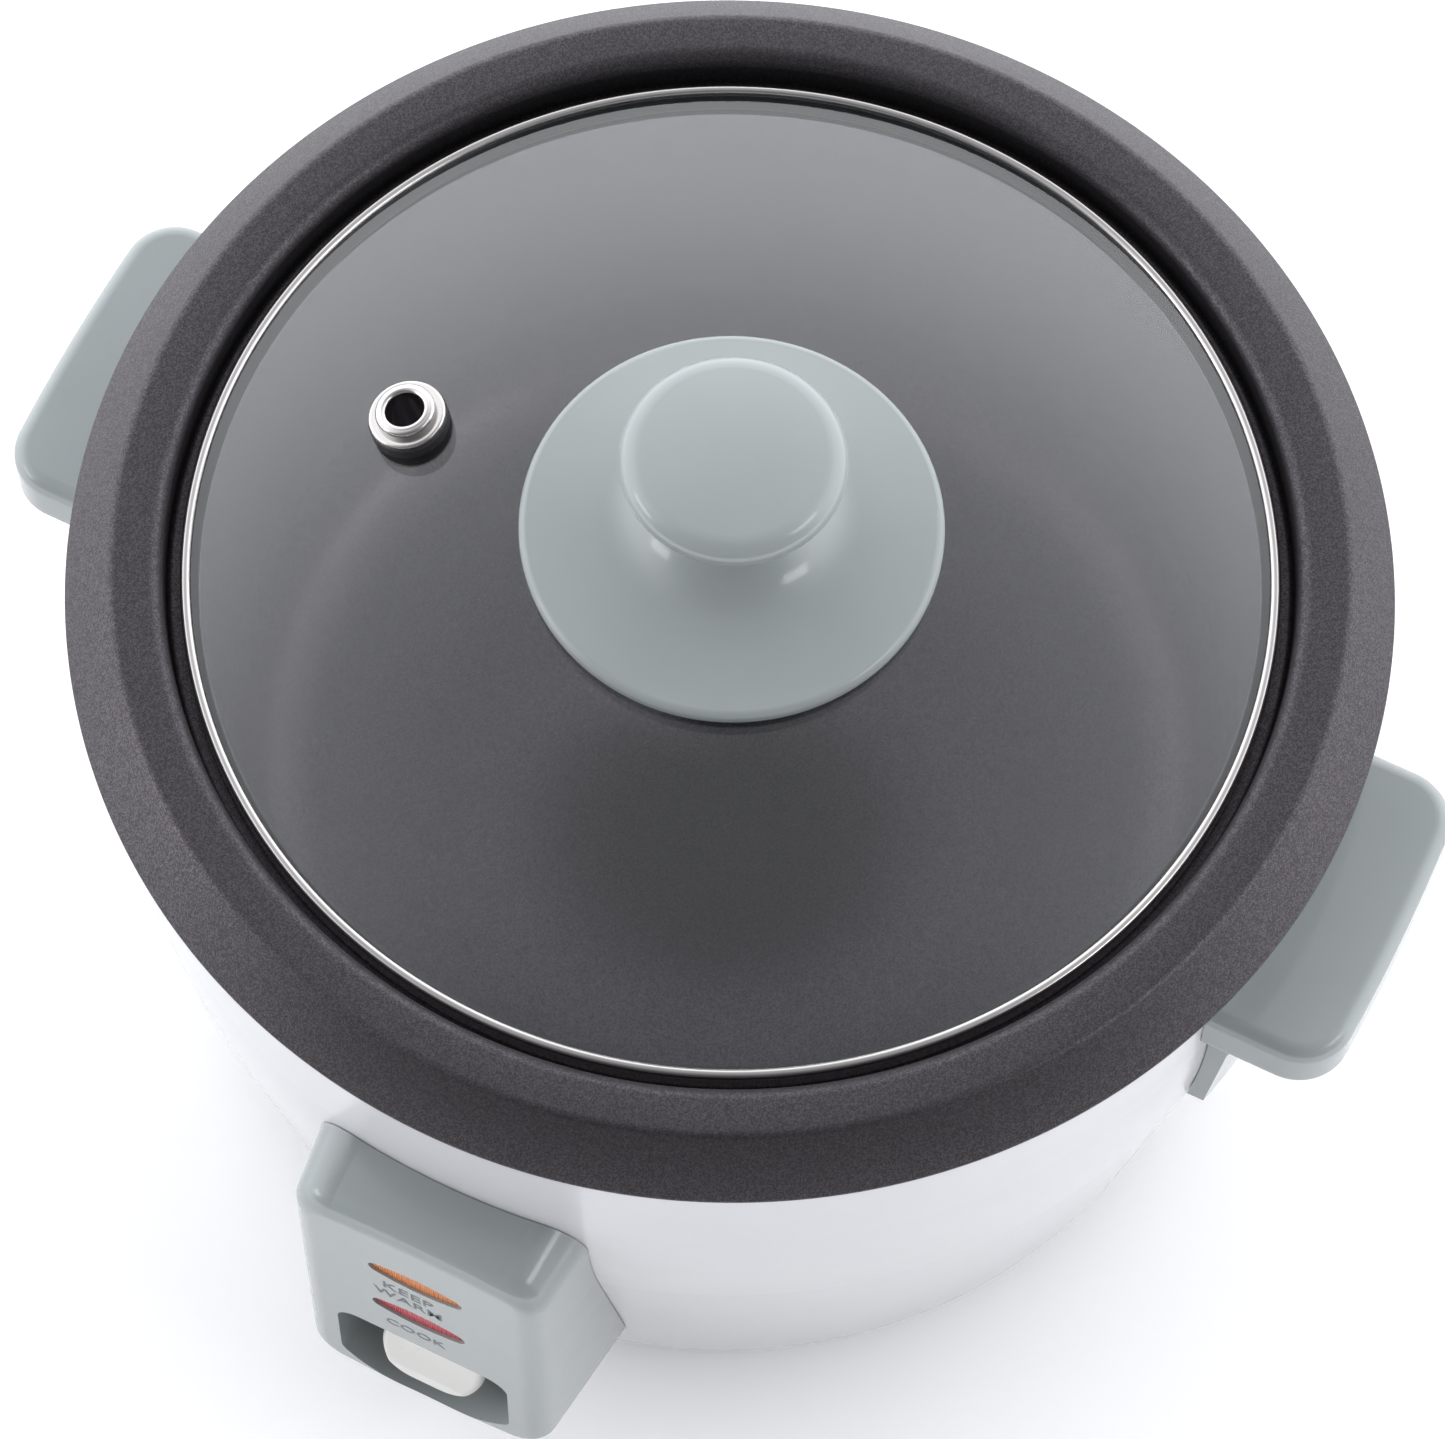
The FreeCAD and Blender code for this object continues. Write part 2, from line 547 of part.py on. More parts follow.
# Body: a deep-drawn steel wall, open at the top, with a turned-in lip below.
outer = new_body("outer_body")
turned(outer, [("base_lip", "foot_height")] + wall_curve("0") + [
    ("body_radius", "shoulder_height - shoulder_round", "shoulder_round"),
    ("body_radius - shoulder_round", "shoulder_height"),
    ("shoulder_opening", "shoulder_height"),
    ("shoulder_opening", shield_top),
    ("body_radius - shoulder_round", shield_top, "-(shoulder_round - body_wall)"),
    ("body_radius - body_wall", "shoulder_height - shoulder_round"),
    ("body_radius - body_wall", "bend_height", "-(bend_curve - body_wall)"),
    (f"bend_radius - body_wall * cos({lean})", f"bend_low + body_wall * sin({lean})"),
    (f"corner_radius - body_wall * cos({lean})", f"corner_height + body_wall * sin({lean})",
     "-(body_corner - body_wall)"),
    ("underside", "foot_height + body_wall"),
    ("base_lip", "foot_height + body_wall"),
])
cut(outer, "XZ_Plane", box("-window_half", "window_half", "foot_height + 14", "warm_height + 6"), "0",
    "front_distance")
inlet_block = box("-(inlet_width / 2 - 5)", "inlet_width / 2 - 5", "inlet_height - inlet_tall / 2 + 5",
                  "inlet_height + inlet_tall / 2 - 5")
cut(outer, "XZ_Plane", inlet_block, "-front_distance", "front_distance")
handle_screw_places = [("handle_shift - handle_screw", "handle_top - handle_wall / 2"),
                       ("handle_shift + handle_screw", "handle_top - handle_wall / 2")]
cut_holes(outer, "YZ_Plane", handle_screw_places, "screw_radius + fit_gap", "-front_distance",
          "2 * front_distance")
housing_screw_places = [("-housing_screw", "housing_top - 12"), ("housing_screw", "housing_top - 12")]
cut_holes(outer, "XZ_Plane", housing_screw_places, "screw_radius + fit_gap", "0", "front_distance")

# Heat shield: a steel bowl that hangs from the shoulder and carries the heating plate.
shield = new_body("heat_shield")
shield_outside = "(shield_radius + shield_wall)"
turned(shield, [
    ("shield_hole", "shield_floor"),
    (f"{shield_outside} - shield_corner - 5", "shield_floor", "shield_corner"),
    (f"{shield_outside} - 5", "shield_floor + shield_corner"),
    (shield_outside, f"{shield_top} - 30"),
    (shield_outside, f"{shield_top} - shield_wall"),
    ("body_radius - 5", f"{shield_top} - shield_wall"),
    ("body_radius - 5", shield_top),
    ("shield_radius", shield_top),
    ("shield_radius", f"{shield_top} - 30"),
    ("shield_radius - 5", "shield_floor + shield_corner", "-(shield_corner - shield_wall)"),
    (f"{shield_outside} - shield_corner - 5", shield_inside),
    ("shield_hole", shield_inside),
])
half_gap = "(element_gap / 2)"
terminal_places = around("element_circle", [f"(90 - {half_gap})", f"(90 + {half_gap})"])
spacer_places = around("spacer_circle", [90, 210, 330])
post_places = around("post_circle", [45, 135, 225, 315])
cut_holes(shield, "XY_Plane", terminal_places, "element_radius + 1.5", "shield_floor", "shield_wall")
cut_holes(shield, "XY_Plane", spacer_places, "screw_radius + fit_gap", "shield_floor", "shield_wall")

# Heating plate: an aluminium casting with the element's tube pressed into its underside.
plate = new_body("heating_plate")
turned(plate, [
    ("plate_hole", plate_under),
    ("element_circle - element_radius - fit_gap", plate_under, "-(element_radius + fit_gap)"),
    ("element_circle", f"{plate_under} + element_radius + fit_gap", "-(element_radius + fit_gap)"),
    ("element_circle + element_radius + fit_gap", plate_under),
    ("plate_radius - 3", plate_under),
    ("plate_radius", f"{plate_under} + 3"),
    ("plate_radius", f"{plate_top} - 2", "2"),
    ("plate_radius - 2", plate_top),
    ("plate_hole", plate_top),
])
cut_holes(plate, "XY_Plane", spacer_places, "screw_radius + fit_gap", plate_under, "plate_wall - 2")

tube = doc.addObject("Part::Torus", "heating_element_ring")
tube.setExpression("Radius1", bound("element_circle"))
tube.setExpression("Radius2", bound("element_radius"))
tube.setExpression("Angle3", bound("360 - element_gap"))
tube.Placement.Rotation = FreeCAD.Rotation(FreeCAD.Vector(0, 0, 1), 90 + size(half_gap))
tube.setExpression("Placement.Base.z", bound(plate_under))
legs = []
for number, (x, y) in enumerate(terminal_places):
    leg = doc.addObject("Part::Cylinder", "heating_element_leg_%d" % number)
    leg.setExpression("Radius", bound("element_radius"))
    leg.setExpression("Height", bound(f"{plate_under} - {shield_inside} - 1"))
    put(leg, x, y, f"{shield_inside} + 1")
    legs.append(leg)
element = doc.addObject("Part::MultiFuse", "heating_element")
element.Shapes = [tube] + legs
element.Label = "heating_element"
subparts.append(element)

terminals = new_body("element_terminals")
add_rods(terminals, "XY_Plane", terminal_places, "terminal_radius", "shield_floor - 7",
         "shield_wall + 8")

spacers = new_body("plate_spacers")
spacer_length = f"({plate_under} - {shield_inside})"
add_rods(spacers, "XY_Plane", spacer_places, "spacer_radius", shield_inside, spacer_length)
cut_holes(spacers, "XY_Plane", spacer_places, "screw_radius + fit_gap", shield_inside, spacer_length)
screws("plate_screws", spacer_places, "shield_floor", f"{plate_under} - shield_floor + plate_wall - 3")

# Base: a steel plate inside the body's lip, held by long posts from the heat shield, on rubber feet.
base = new_body("base_plate")
base_under = "(foot_height + body_wall)"
turned(base, [("0", base_under), ("base_radius", base_under), ("base_radius", base_top), ("0", base_top)])
cut_holes(base, "XY_Plane", post_places, "screw_radius + fit_gap", base_under, "base_wall")
slot = cut(base, "XY_Plane", [
    ("vent_start", "-vent_half"),
    ("vent_end", "-vent_half", "vent_half * 1.1"),
    ("vent_end", "vent_half"),
    ("vent_start", "vent_half", "vent_half * 1.1"),
], base_under, "base_wall")
pattern = base.newObject("PartDesign::PolarPattern", "base_plate_vents")
pattern.Originals = [slot]
pattern.Axis = (slot.Profile[0], ["N_Axis"])
pattern.Angle = 360
pattern.Occurrences = 12
base.Tip = pattern

posts = new_body("base_posts")
add_rods(posts, "XY_Plane", post_places, "post_radius", base_top, f"shield_floor - {base_top}")
cut_holes(posts, "XY_Plane", post_places, "screw_radius", base_top, "9")
screws("base_screws", post_places, base_under, "base_wall + 8")

feet = new_body("feet")
foot_places = around("foot_circle", [0, 90, 180, 270])
add_rods(feet, "XY_Plane", foot_places, "foot_radius", "0", base_under)

# Magnetic thermostat: a sleeve under the plate, a sprung cap with a ferrite core that feels the
# pan, and a magnet that the lever lifts to the ferrite and that drops off when the core gets hot.
sensor_top = f"({plate_top} - move_gap)"
cap_under = f"({sensor_top} - sensor_wall)"
skirt_low = f"({cap_under} - ferrite_height - 0.4)"
ferrite_low = f"({cap_under} - ferrite_height)"
magnet_top = f"({ferrite_low} - sensor_travel - magnet_travel - move_gap)"
magnet_low = f"({magnet_top} - magnet_height)"
holder_low = f"({magnet_low} - 1.3)"
sleeve_inside = "(sleeve_radius - sleeve_wall)"
stop_low = f"({skirt_low} - 3.2)"

sleeve = new_body("thermostat_sleeve")
turned(sleeve, [
    ("rod_radius + 1.5", f"{holder_low} - 1"),
    ("sleeve_radius", f"{holder_low} - 1"),
    ("sleeve_radius", f"{plate_under} - 1"),
    ("sleeve_flange", f"{plate_under} - 1"),
    ("sleeve_flange", plate_under),
    (sleeve_inside, plate_under),
    (sleeve_inside, f"{stop_low} + 1"),
    (f"{sleeve_inside} - 1.6", f"{stop_low} + 1"),
    (f"{sleeve_inside} - 1.6", stop_low),
    (sleeve_inside, stop_low),
    (sleeve_inside, holder_low),
    ("rod_radius + 1.5", holder_low),
])
cap = new_body("sensor_cap")
turned(cap, [
    ("0", cap_under),
    ("sensor_skirt - sensor_wall", cap_under),
    ("sensor_skirt - sensor_wall", skirt_low),
    ("sensor_skirt", skirt_low),
    ("sensor_skirt", cap_under),
    ("sensor_radius", cap_under),
    ("sensor_radius", f"{sensor_top} - 0.8", "0.8"),
    ("sensor_radius - 0.8", sensor_top),
    ("0", sensor_top),
])
ferrite = new_body("sensor_ferrite")
add_rods(ferrite, "XY_Plane", [("0", "0")], "sensor_skirt - sensor_wall - fit_gap", ferrite_low,
         "ferrite_height")
coil("sensor_spring", "(sensor_skirt / 2 + plate_hole / 2)", plate_under, cap_under, "3")

magnet = new_body("magnet")
add_rods(magnet, "XY_Plane", [("0", "0")], "magnet_radius", magnet_low, "magnet_height")
holder = new_body("magnet_holder")
lever_top = "(lever_height + lever_wall)"
turned(holder, [
    ("0", f"{lever_top} + move_gap"),
    ("rod_radius", f"{lever_top} + move_gap"),
    ("rod_radius", holder_low),
    (f"{sleeve_inside} - move_gap", holder_low),
    (f"{sleeve_inside} - move_gap", f"{holder_low} + 0.8"),
    ("magnet_radius + 0.8", f"{holder_low} + 0.8"),
    ("magnet_radius + 0.8", f"{magnet_low} + 2"),
    ("magnet_radius + fit_gap", f"{magnet_low} + 2"),
    ("magnet_radius + fit_gap", magnet_low),
    ("0", magnet_low),
])
coil("magnet_spring", f"({sleeve_inside} - 1)", f"({holder_low} + 0.8)", stop_low, "4")

# Lever: a bent steel arm that rocks on a pin in a bracket under the heat shield. Its front end
# comes out through the body's window and carries the switch's tab.
lever = new_body("cook_lever")
elbow = "(-front_distance + slot_depth + 16)"
tongue_height = "(slot_top - tab_height + 8)"
half_lever = "(lever_width / 2)"
pivot_y = "(-pivot_distance)"
add(lever, "YZ_Plane", [
    ("-front_distance + tab_lean + 4", tongue_height),
    ("-front_distance + tab_lean + 4", f"{tongue_height} + lever_wall"),
    (f"{elbow} + lever_wall", f"{tongue_height} + lever_wall"),
    (f"{elbow} + lever_wall", lever_top),
    ("rod_radius + 2", lever_top),
    ("rod_radius + 2", "lever_height"),
    (elbow, "lever_height"),
    (elbow, tongue_height),
], f"-{half_lever}", "lever_width")
add_rods(lever, "YZ_Plane", [(pivot_y, pivot_height)], "barrel_radius", f"-{half_lever}", "lever_width")
cut_holes(lever, "YZ_Plane", [(pivot_y, pivot_height)], "pin_radius + fit_gap / 2", f"-{half_lever}",
          "lever_width")

cheek = f"({half_lever} + move_gap)"
bracket = new_body("lever_bracket")
add(bracket, "XZ_Plane", [
    (f"-{cheek} - 1.5", f"{pivot_height} - barrel_radius"),
    (f"-{cheek}", f"{pivot_height} - barrel_radius"),
    (f"-{cheek}", "shield_floor - 1.5"),
    (cheek, "shield_floor - 1.5"),
    (cheek, f"{pivot_height} - barrel_radius"),
    (f"{cheek} + 1.5", f"{pivot_height} - barrel_radius"),
    (f"{cheek} + 1.5", "shield_floor"),
    (f"-{cheek} - 1.5", "shield_floor"),
], "pivot_distance - 7", "14")
cut_holes(bracket, "YZ_Plane", [(pivot_y, pivot_height)], "pin_radius", f"-{cheek} - 1.5",
          f"2 * {cheek} + 3")
pin = new_body("lever_pin")
add_rods(pin, "YZ_Plane", [(pivot_y, pivot_height)], "pin_radius", f"-{cheek} - 2.5", f"2 * {cheek} + 5")

# Switch tab: a moulded paddle on the lever's tongue, in the housing's slot.
tab = new_body("switch_tab")
tab_left = "(-tab_width / 2)"
tab_right = "(tab_width / 2)"
tab_top = "(slot_top - 1)"
tab_low = "(slot_top - 1 - tab_height)"
add(tab, "XZ_Plane", [
    (f"{tab_left} + tab_corner", tab_low),
    (f"{tab_right} - tab_corner", tab_low, "tab_corner"),
    (tab_right, f"{tab_low} + tab_corner"),
    (tab_right, f"{tab_top} - 2", "2"),
    (f"{tab_right} - 2", tab_top),
    (f"{tab_left} + 2", tab_top, "2"),
    (tab_left, f"{tab_top} - 2"),
    (tab_left, f"{tab_low} + tab_corner", "tab_corner"),
], "front_distance - tab_depth", "tab_depth")
cut(tab, "YZ_Plane", [
    ("-front_distance", tab_low),
    (f"{face} + 0.6", f"{tab_low} + 4", "24"),
    (f"{face} + tab_lean", tab_top),
    ("-front_distance - 1", tab_top),
    ("-front_distance - 1", tab_low),
], "-tab_width", "2 * tab_width")
round_edges(tab, lambda edge, middle: middle.y < size(face) + size("tab_lean") + 0.5, "1.5")
cut(tab, "XZ_Plane", box(f"-{half_lever} - fit_gap", f"{half_lever} + fit_gap", f"{tongue_height} - fit_gap",
                         f"{tongue_height} + lever_wall + fit_gap"),
    "front_distance - tab_depth", "tab_depth - tab_lean - 4 + fit_gap")

# Microswitch: it turns the element on while the lever is down.
switch_y = "(-pivot_distance - 23)"
switch_top = "(lever_height - 3.5)"
switch = new_body("microswitch")
add(switch, "XZ_Plane", box("-3", "3.4", f"{switch_top} - 11", switch_top), f"-{switch_y} - 10", "20")
cut_holes(switch, "XY_Plane", [("0", switch_y)], "1.1", f"{switch_top} - 6", "6")
switch_screw_places = [(f"{switch_y} - 7", f"{switch_top} - 8"), (f"{switch_y} + 7", f"{switch_top} - 8")]
cut_holes(switch, "YZ_Plane", switch_screw_places, "1.3", "-3", "6.4")
button = new_body("microswitch_button")
add_rods(button, "XY_Plane", [("0", switch_y)], "1", f"{switch_top} - 3.5",
         f"lever_height - move_gap - {switch_top} + 3.5")
stand = new_body("switch_bracket")
add(stand, "XZ_Plane", [
    ("3.4", base_top), ("16", base_top), ("16", f"{base_top} + 1.2"), ("4.6", f"{base_top} + 1.2"),
    ("4.6", f"{switch_top} - 0.5"), ("3.4", f"{switch_top} - 0.5")], f"-{switch_y} - 10", "20")
cut_holes(stand, "YZ_Plane", switch_screw_places, "1.3", "3.4", "1.2")
switch_screws = new_body("microswitch_screws")
add_rods(switch_screws, "YZ_Plane", switch_screw_places, "1.2", "-3", "8.6")
add_rods(switch_screws, "YZ_Plane", switch_screw_places, "2.2", "-4.5", "1.5")

# Keep-warm thermostat under the plate, and a thermal fuse clipped under the heat shield.
warm_place = around("warm_offset", [200])
warm_can = new_body("warm_thermostat_can")
add_rods(warm_can, "XY_Plane", warm_place, "8", f"{plate_under} - 4", "4")
warm_case = new_body("warm_thermostat_case")
add_rods(warm_case, "XY_Plane", warm_place, "7.5", f"{shield_inside} + 0.5",
         f"{plate_under} - 4.5 - {shield_inside}")
fuse = new_body("thermal_fuse")
fuse_z = "(shield_floor - 3.2)"
add_rods(fuse, "XZ_Plane", [("fuse_offset", fuse_z)], "2", "-14", "12")
add_rods(fuse, "XZ_Plane", [("fuse_offset", fuse_z)], "0.6", "-26", "36")
clip = new_body("fuse_clip")
add(clip, "XZ_Plane", [
    ("fuse_offset - 2.9", "shield_floor"),
    ("fuse_offset - 2.9", f"{fuse_z} - 2.9"),
    ("fuse_offset + 2.9", f"{fuse_z} - 2.9"),
    ("fuse_offset + 2.9", "shield_floor - 0.8"),
    ("fuse_offset + 9", "shield_floor - 0.8"),
    ("fuse_offset + 9", "shield_floor"),
    ("fuse_offset + 2.1", "shield_floor"),
    ("fuse_offset + 2.1", f"{fuse_z} - 2.1"),
    ("fuse_offset - 2.1", f"{fuse_z} - 2.1"),
    ("fuse_offset - 2.1", "shield_floor"),
], "-12", "8")

# Switch housing: a moulded cover with a slot for the tab and two windows for the lenses.
housing = new_body("switch_housing")
half = "(housing_width / 2)"


def housing_outline(inset):
    """The outline of the housing's face, moved in by inset."""
    top_curve = f"({half} ^ 2 / (2 * housing_arch))"
    low_curve = f"({half} ^ 2 / (2 * housing_sag))"
    side = f"({half} - {inset})"
    corner = f"(housing_corner - {inset})"
    high = f"(housing_top - housing_arch - {inset})"
    low = f"(housing_bottom + housing_sag + {inset})"
    return [
        (f"{corner} - {side}", low, low_curve),
        (f"{side} - {corner}", low, corner),
        (side, f"{low} + {corner}"),
        (side, f"{high} - {corner}", corner),
        (f"{side} - {corner}", high, top_curve),
        (f"{corner} - {side}", high, corner),
        (f"-{side}", f"{high} - {corner}"),
        (f"-{side}", f"{low} + {corner}", corner),
    ]


def slot_outline(grow):
    """The slot: straight above, one arc below, with rounded corners, moved out by grow."""
    side = f"(slot_width / 2 + {grow})"
    curve = f"(slot_curve + {grow})"
    corner = f"(slot_round + {grow})"
    middle = "(slot_bottom + slot_curve)"
    across = f"({side} - {corner})"
    drop = f"sqrt(({curve} - {corner}) ^ 2 - {across} ^ 2)"
    reach = f"({curve} / ({curve} - {corner}))"
    high = f"(slot_top + {grow})"
    return [
        (f"-{across} * {reach}", f"{middle} - {drop} * {reach}", curve),
        (f"{across} * {reach}", f"{middle} - {drop} * {reach}", corner),
        (side, f"{middle} - {drop}"),
        (side, f"{high} - {corner}", corner),
        (across, high),
        (f"-{across}", high, corner),
        (f"-{side}", f"{high} - {corner}"),
        (f"-{side}", f"{middle} - {drop}", corner),
    ]


def lens_outline(height, inset):
    """A flat oval: two long arcs between rounded ends."""
    side = f"(lens_width / 2 - {inset})"
    end = f"(lens_end / 2 - {inset} / 2)"
    blunt = f"({end} * 1.15)"
    bow = "((lens_tall - lens_end) / 2)"
    curve = f"(({side} ^ 2 + {bow} ^ 2) / (2 * {bow}))"
    return [
        (f"-{side}", f"{height} - {end}", curve),
        (side, f"{height} - {end}", blunt),
        (side, f"{height} + {end}", curve),
        (f"-{side}", f"{height} + {end}", blunt),
    ]


back = "(front_distance - housing_depth)"
shell = add(housing, "XZ_Plane", housing_outline("0"), "front_distance", "housing_depth",
            taper="housing_flare")
shell.Reversed = True
round_edges(housing, lambda edge, middle: middle.y < size(face) + 0.01, "housing_edge")
cut(housing, "XZ_Plane", housing_outline("housing_wall"), back, "housing_depth - housing_wall")
boss_back = "(body_radius - 6)"
boss_front = "(front_distance - housing_wall / 2)"
add_rods(housing, "XZ_Plane", housing_screw_places, "4", boss_back, f"{boss_front} - {boss_back}")
clear_of_wall(housing)
wall_out = "(housing_wall * 0.6)"
add(housing, "XZ_Plane", slot_outline(wall_out), "front_distance - slot_depth",
    "slot_depth - housing_wall / 2")
lamp_middle = "(front_distance - 7.5)"
lamp_back = f"({lamp_middle} - lamp_radius - move_gap)"
lamp_screw_height = "(warm_height / 2 + cook_height / 2)"
lamp_screw_places = [("-lamp_screw", lamp_screw_height), ("lamp_screw", lamp_screw_height)]
add_rods(housing, "XZ_Plane", lamp_screw_places, "3", lamp_back, f"{boss_front} - {lamp_back}")
cut(housing, "XZ_Plane", slot_outline("0"), "front_distance - slot_depth - 1", "slot_depth + 2")
cut(housing, "XZ_Plane", lens_outline("warm_height", "0"), "front_distance - 5", "6")
cut(housing, "XZ_Plane", lens_outline("cook_height", "0"), "front_distance - 5", "6")
cut_holes(housing, "XZ_Plane", housing_screw_places, "screw_radius + fit_gap / 2", boss_back, "14")
cut_holes(housing, "XZ_Plane", lamp_screw_places, "1.2", lamp_back, "6")

for name, height in (("lens_warm", "warm_height"), ("lens_cook", "cook_height")):
    lens = new_body(name)
    add(lens, "XZ_Plane", lens_outline(height, "fit_gap"), "front_distance - housing_wall",
        "housing_wall - lens_recess")
    add(lens, "XZ_Plane", lens_outline(height, "-1"), "front_distance - housing_wall - 1", "1")
for name, height in (("lamp_warm", "warm_height"), ("lamp_cook", "cook_height")):
    lamp = new_body(name)
    add_rods(lamp, "YZ_Plane", [(f"-{lamp_middle}", height)], "lamp_radius", "-lamp_length / 2",
             "lamp_length")
lamp_holder = new_body("lamp_holder")
add(lamp_holder, "XZ_Plane", box("-(lamp_screw + 4)", "lamp_screw + 4", "cook_height - 5", "warm_height + 5"),
    f"{lamp_back} - 1.6", "1.6")
cut_holes(lamp_holder, "XZ_Plane", lamp_screw_places, "1.3", f"{lamp_back} - 1.6", "1.6")
lamp_screws = new_body("lamp_screws")
add_rods(lamp_screws, "XZ_Plane", lamp_screw_places, "1.2", f"{lamp_back} - 1.6", "7")
add_rods(lamp_screws, "XZ_Plane", lamp_screw_places, "2", f"{lamp_back} - 2.8", "1.2")
wall_behind = "(sqrt((body_radius - body_wall) ^ 2 - housing_screw ^ 2) - 1.6)"
housing_screws = new_body("housing_screws")
add_rods(housing_screws, "XZ_Plane", housing_screw_places, "head_radius", f"{wall_behind} - head_height",
         "head_height")
add_rods(housing_screws, "XZ_Plane", housing_screw_places, "screw_radius", wall_behind, "8")

# Handles: a flat grip and a mounting plate in one moulding, screwed on from inside the body.
def handle(name, side):
    """One handle; side is 1 for +X and -1 for -X."""
    body = new_body(name)
    half_grip = "(handle_width / 2)"
    low = "(handle_top - handle_wall)"
    across = f"({half_grip} - handle_corner)"
    along = f"sqrt((handle_crown - handle_corner) ^ 2 - {across} ^ 2)"
    corner_x = f"(handle_reach - handle_crown + {along})"
    touch_x = f"(handle_reach - handle_crown + {along} * handle_crown / (handle_crown - handle_corner))"
    touch_y = f"({across} * handle_crown / (handle_crown - handle_corner))"
    grip = [
        ("handle_root", f"handle_shift - {half_grip}"),
        (corner_x, f"handle_shift - {half_grip}", "handle_corner"),
        (touch_x, f"handle_shift - {touch_y}", "handle_crown"),
        (touch_x, f"handle_shift + {touch_y}", "handle_corner"),
        (corner_x, f"handle_shift + {half_grip}"),
        ("handle_root", f"handle_shift + {half_grip}"),
    ]
    half_plate = f"({half_grip} - handle_edge)"
    plate_box = box("handle_root", "plate_reach + handle_under - 1", f"handle_shift - {half_plate}",
                    f"handle_shift + {half_plate}")
    if side < 0:
        grip = [(f"-({x})", y) + tuple(f"-({radius})" for radius in bend) for x, y, *bend in grip]
        plate_box = [(f"-({x})", y) for x, y in plate_box]
    add(body, "XY_Plane", grip, low, "handle_wall")
    middle_height = size("handle_top - handle_wall / 2")
    back_x = size("handle_root")
    round_edges(body, lambda edge, middle: abs(middle.x) > back_x + 0.1
                and abs(middle.z - middle_height) > size("handle_wall / 2") - 0.01, "handle_edge")
    add(body, "XY_Plane", plate_box, "plate_bottom", f"{low} - plate_bottom + handle_edge + 1")
    turned(body, [
        ("plate_reach - (bend_height - plate_bottom) * 0.08", "plate_bottom - 1"),
        ("handle_reach + 10", "plate_bottom - 1"),
        ("handle_reach + 10", low),
        ("plate_reach + handle_under", low, "handle_under"),
        ("plate_reach", f"{low} - handle_under"),
    ], remove=True)
    clear_of_wall(body)
    start = "handle_root" if side > 0 else "-(handle_root + 28)"
    cut_holes(body, "YZ_Plane", handle_screw_places, "screw_radius + fit_gap / 2", start, "28")
    return body


handle("handle_right", 1)
handle("handle_left", -1)
handle_screws = new_body("handle_screws")
for side, start, head_start in ((1, "{seat}", "{seat} - head_height"), (-1, "-({seat}) - 12", "-({seat})")):
    for place in handle_screw_places:
        seat = f"(sqrt((body_radius - body_wall) ^ 2 - ({place[0]}) ^ 2) - 0.8)"
        add_rods(handle_screws, "YZ_Plane", [place], "screw_radius", start.format(seat=seat), "12")
        add_rods(handle_screws, "YZ_Plane", [place], "head_radius", head_start.format(seat=seat),
                 "head_height")

# Power inlet at the back, with its pins, and the terminal block that the leads go to.
inlet = new_body("power_inlet")
add(inlet, "XZ_Plane", box("-inlet_width / 2", "inlet_width / 2", "inlet_height - inlet_tall / 2",
                           "inlet_height + inlet_tall / 2"), "-inlet_reach", "inlet_reach - 90")
clear_of_wall(inlet)
inlet_inner = box("-(inlet_width / 2 - 5 - fit_gap)", "inlet_width / 2 - 5 - fit_gap",
                  "inlet_height - inlet_tall / 2 + 5 + fit_gap",
                  "inlet_height + inlet_tall / 2 - 5 - fit_gap")
add(inlet, "XZ_Plane", inlet_inner, "-inlet_reach", "30")
cut(inlet, "XZ_Plane", box("-12", "12", "inlet_height - 6", "inlet_height + 6"), "-inlet_reach", "20")
pin_places = [("-6", "inlet_height"), ("6", "inlet_height")]
cut_holes(inlet, "XZ_Plane", pin_places, "2", "20 - inlet_reach", "10")
inlet_pins = new_body("inlet_pins")
add_rods(inlet_pins, "XZ_Plane", pin_places, "2", "6 - inlet_reach", "30")
block = new_body("terminal_block")
add(block, "XY_Plane", box("-block_width / 2", "block_width / 2", "block_middle - block_depth / 2",
                           "block_middle + block_depth / 2"), base_top, "12")
block_places = [("-block_pitch", "block_middle"), ("0", "block_middle"), ("block_pitch", "block_middle")]
cut_holes(block, "XY_Plane", block_places, "2", f"{base_top} + 5", "7")
block_screws = new_body("terminal_screws")
add_rods(block_screws, "XY_Plane", block_places, "1.9", f"{base_top} + 5", "6")

doc.recompute()
for item in doc.Objects:
    if "Invalid" in item.State or "Error" in item.State:
        raise RuntimeError("%s failed: %s" % (item.Label, item.getStatusString()))
os.makedirs("parts", exist_ok=True)
for part in subparts:
    if part.Shape.isNull() or not part.Shape.isValid() or not part.Shape.Solids:
        raise RuntimeError("%s has no sound shape" % part.Label)
    part.Shape.exportStep("parts/%s.step" % part.Label)
    print("%-22s %2d solids %9.0f mm3" % (part.Label, len(part.Shape.Solids), part.Shape.Volume))
print(len(subparts), "sub-parts")
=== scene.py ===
from math import cos, radians, sin, tan

import bpy
import numpy as np
from mathutils import Matrix, Vector


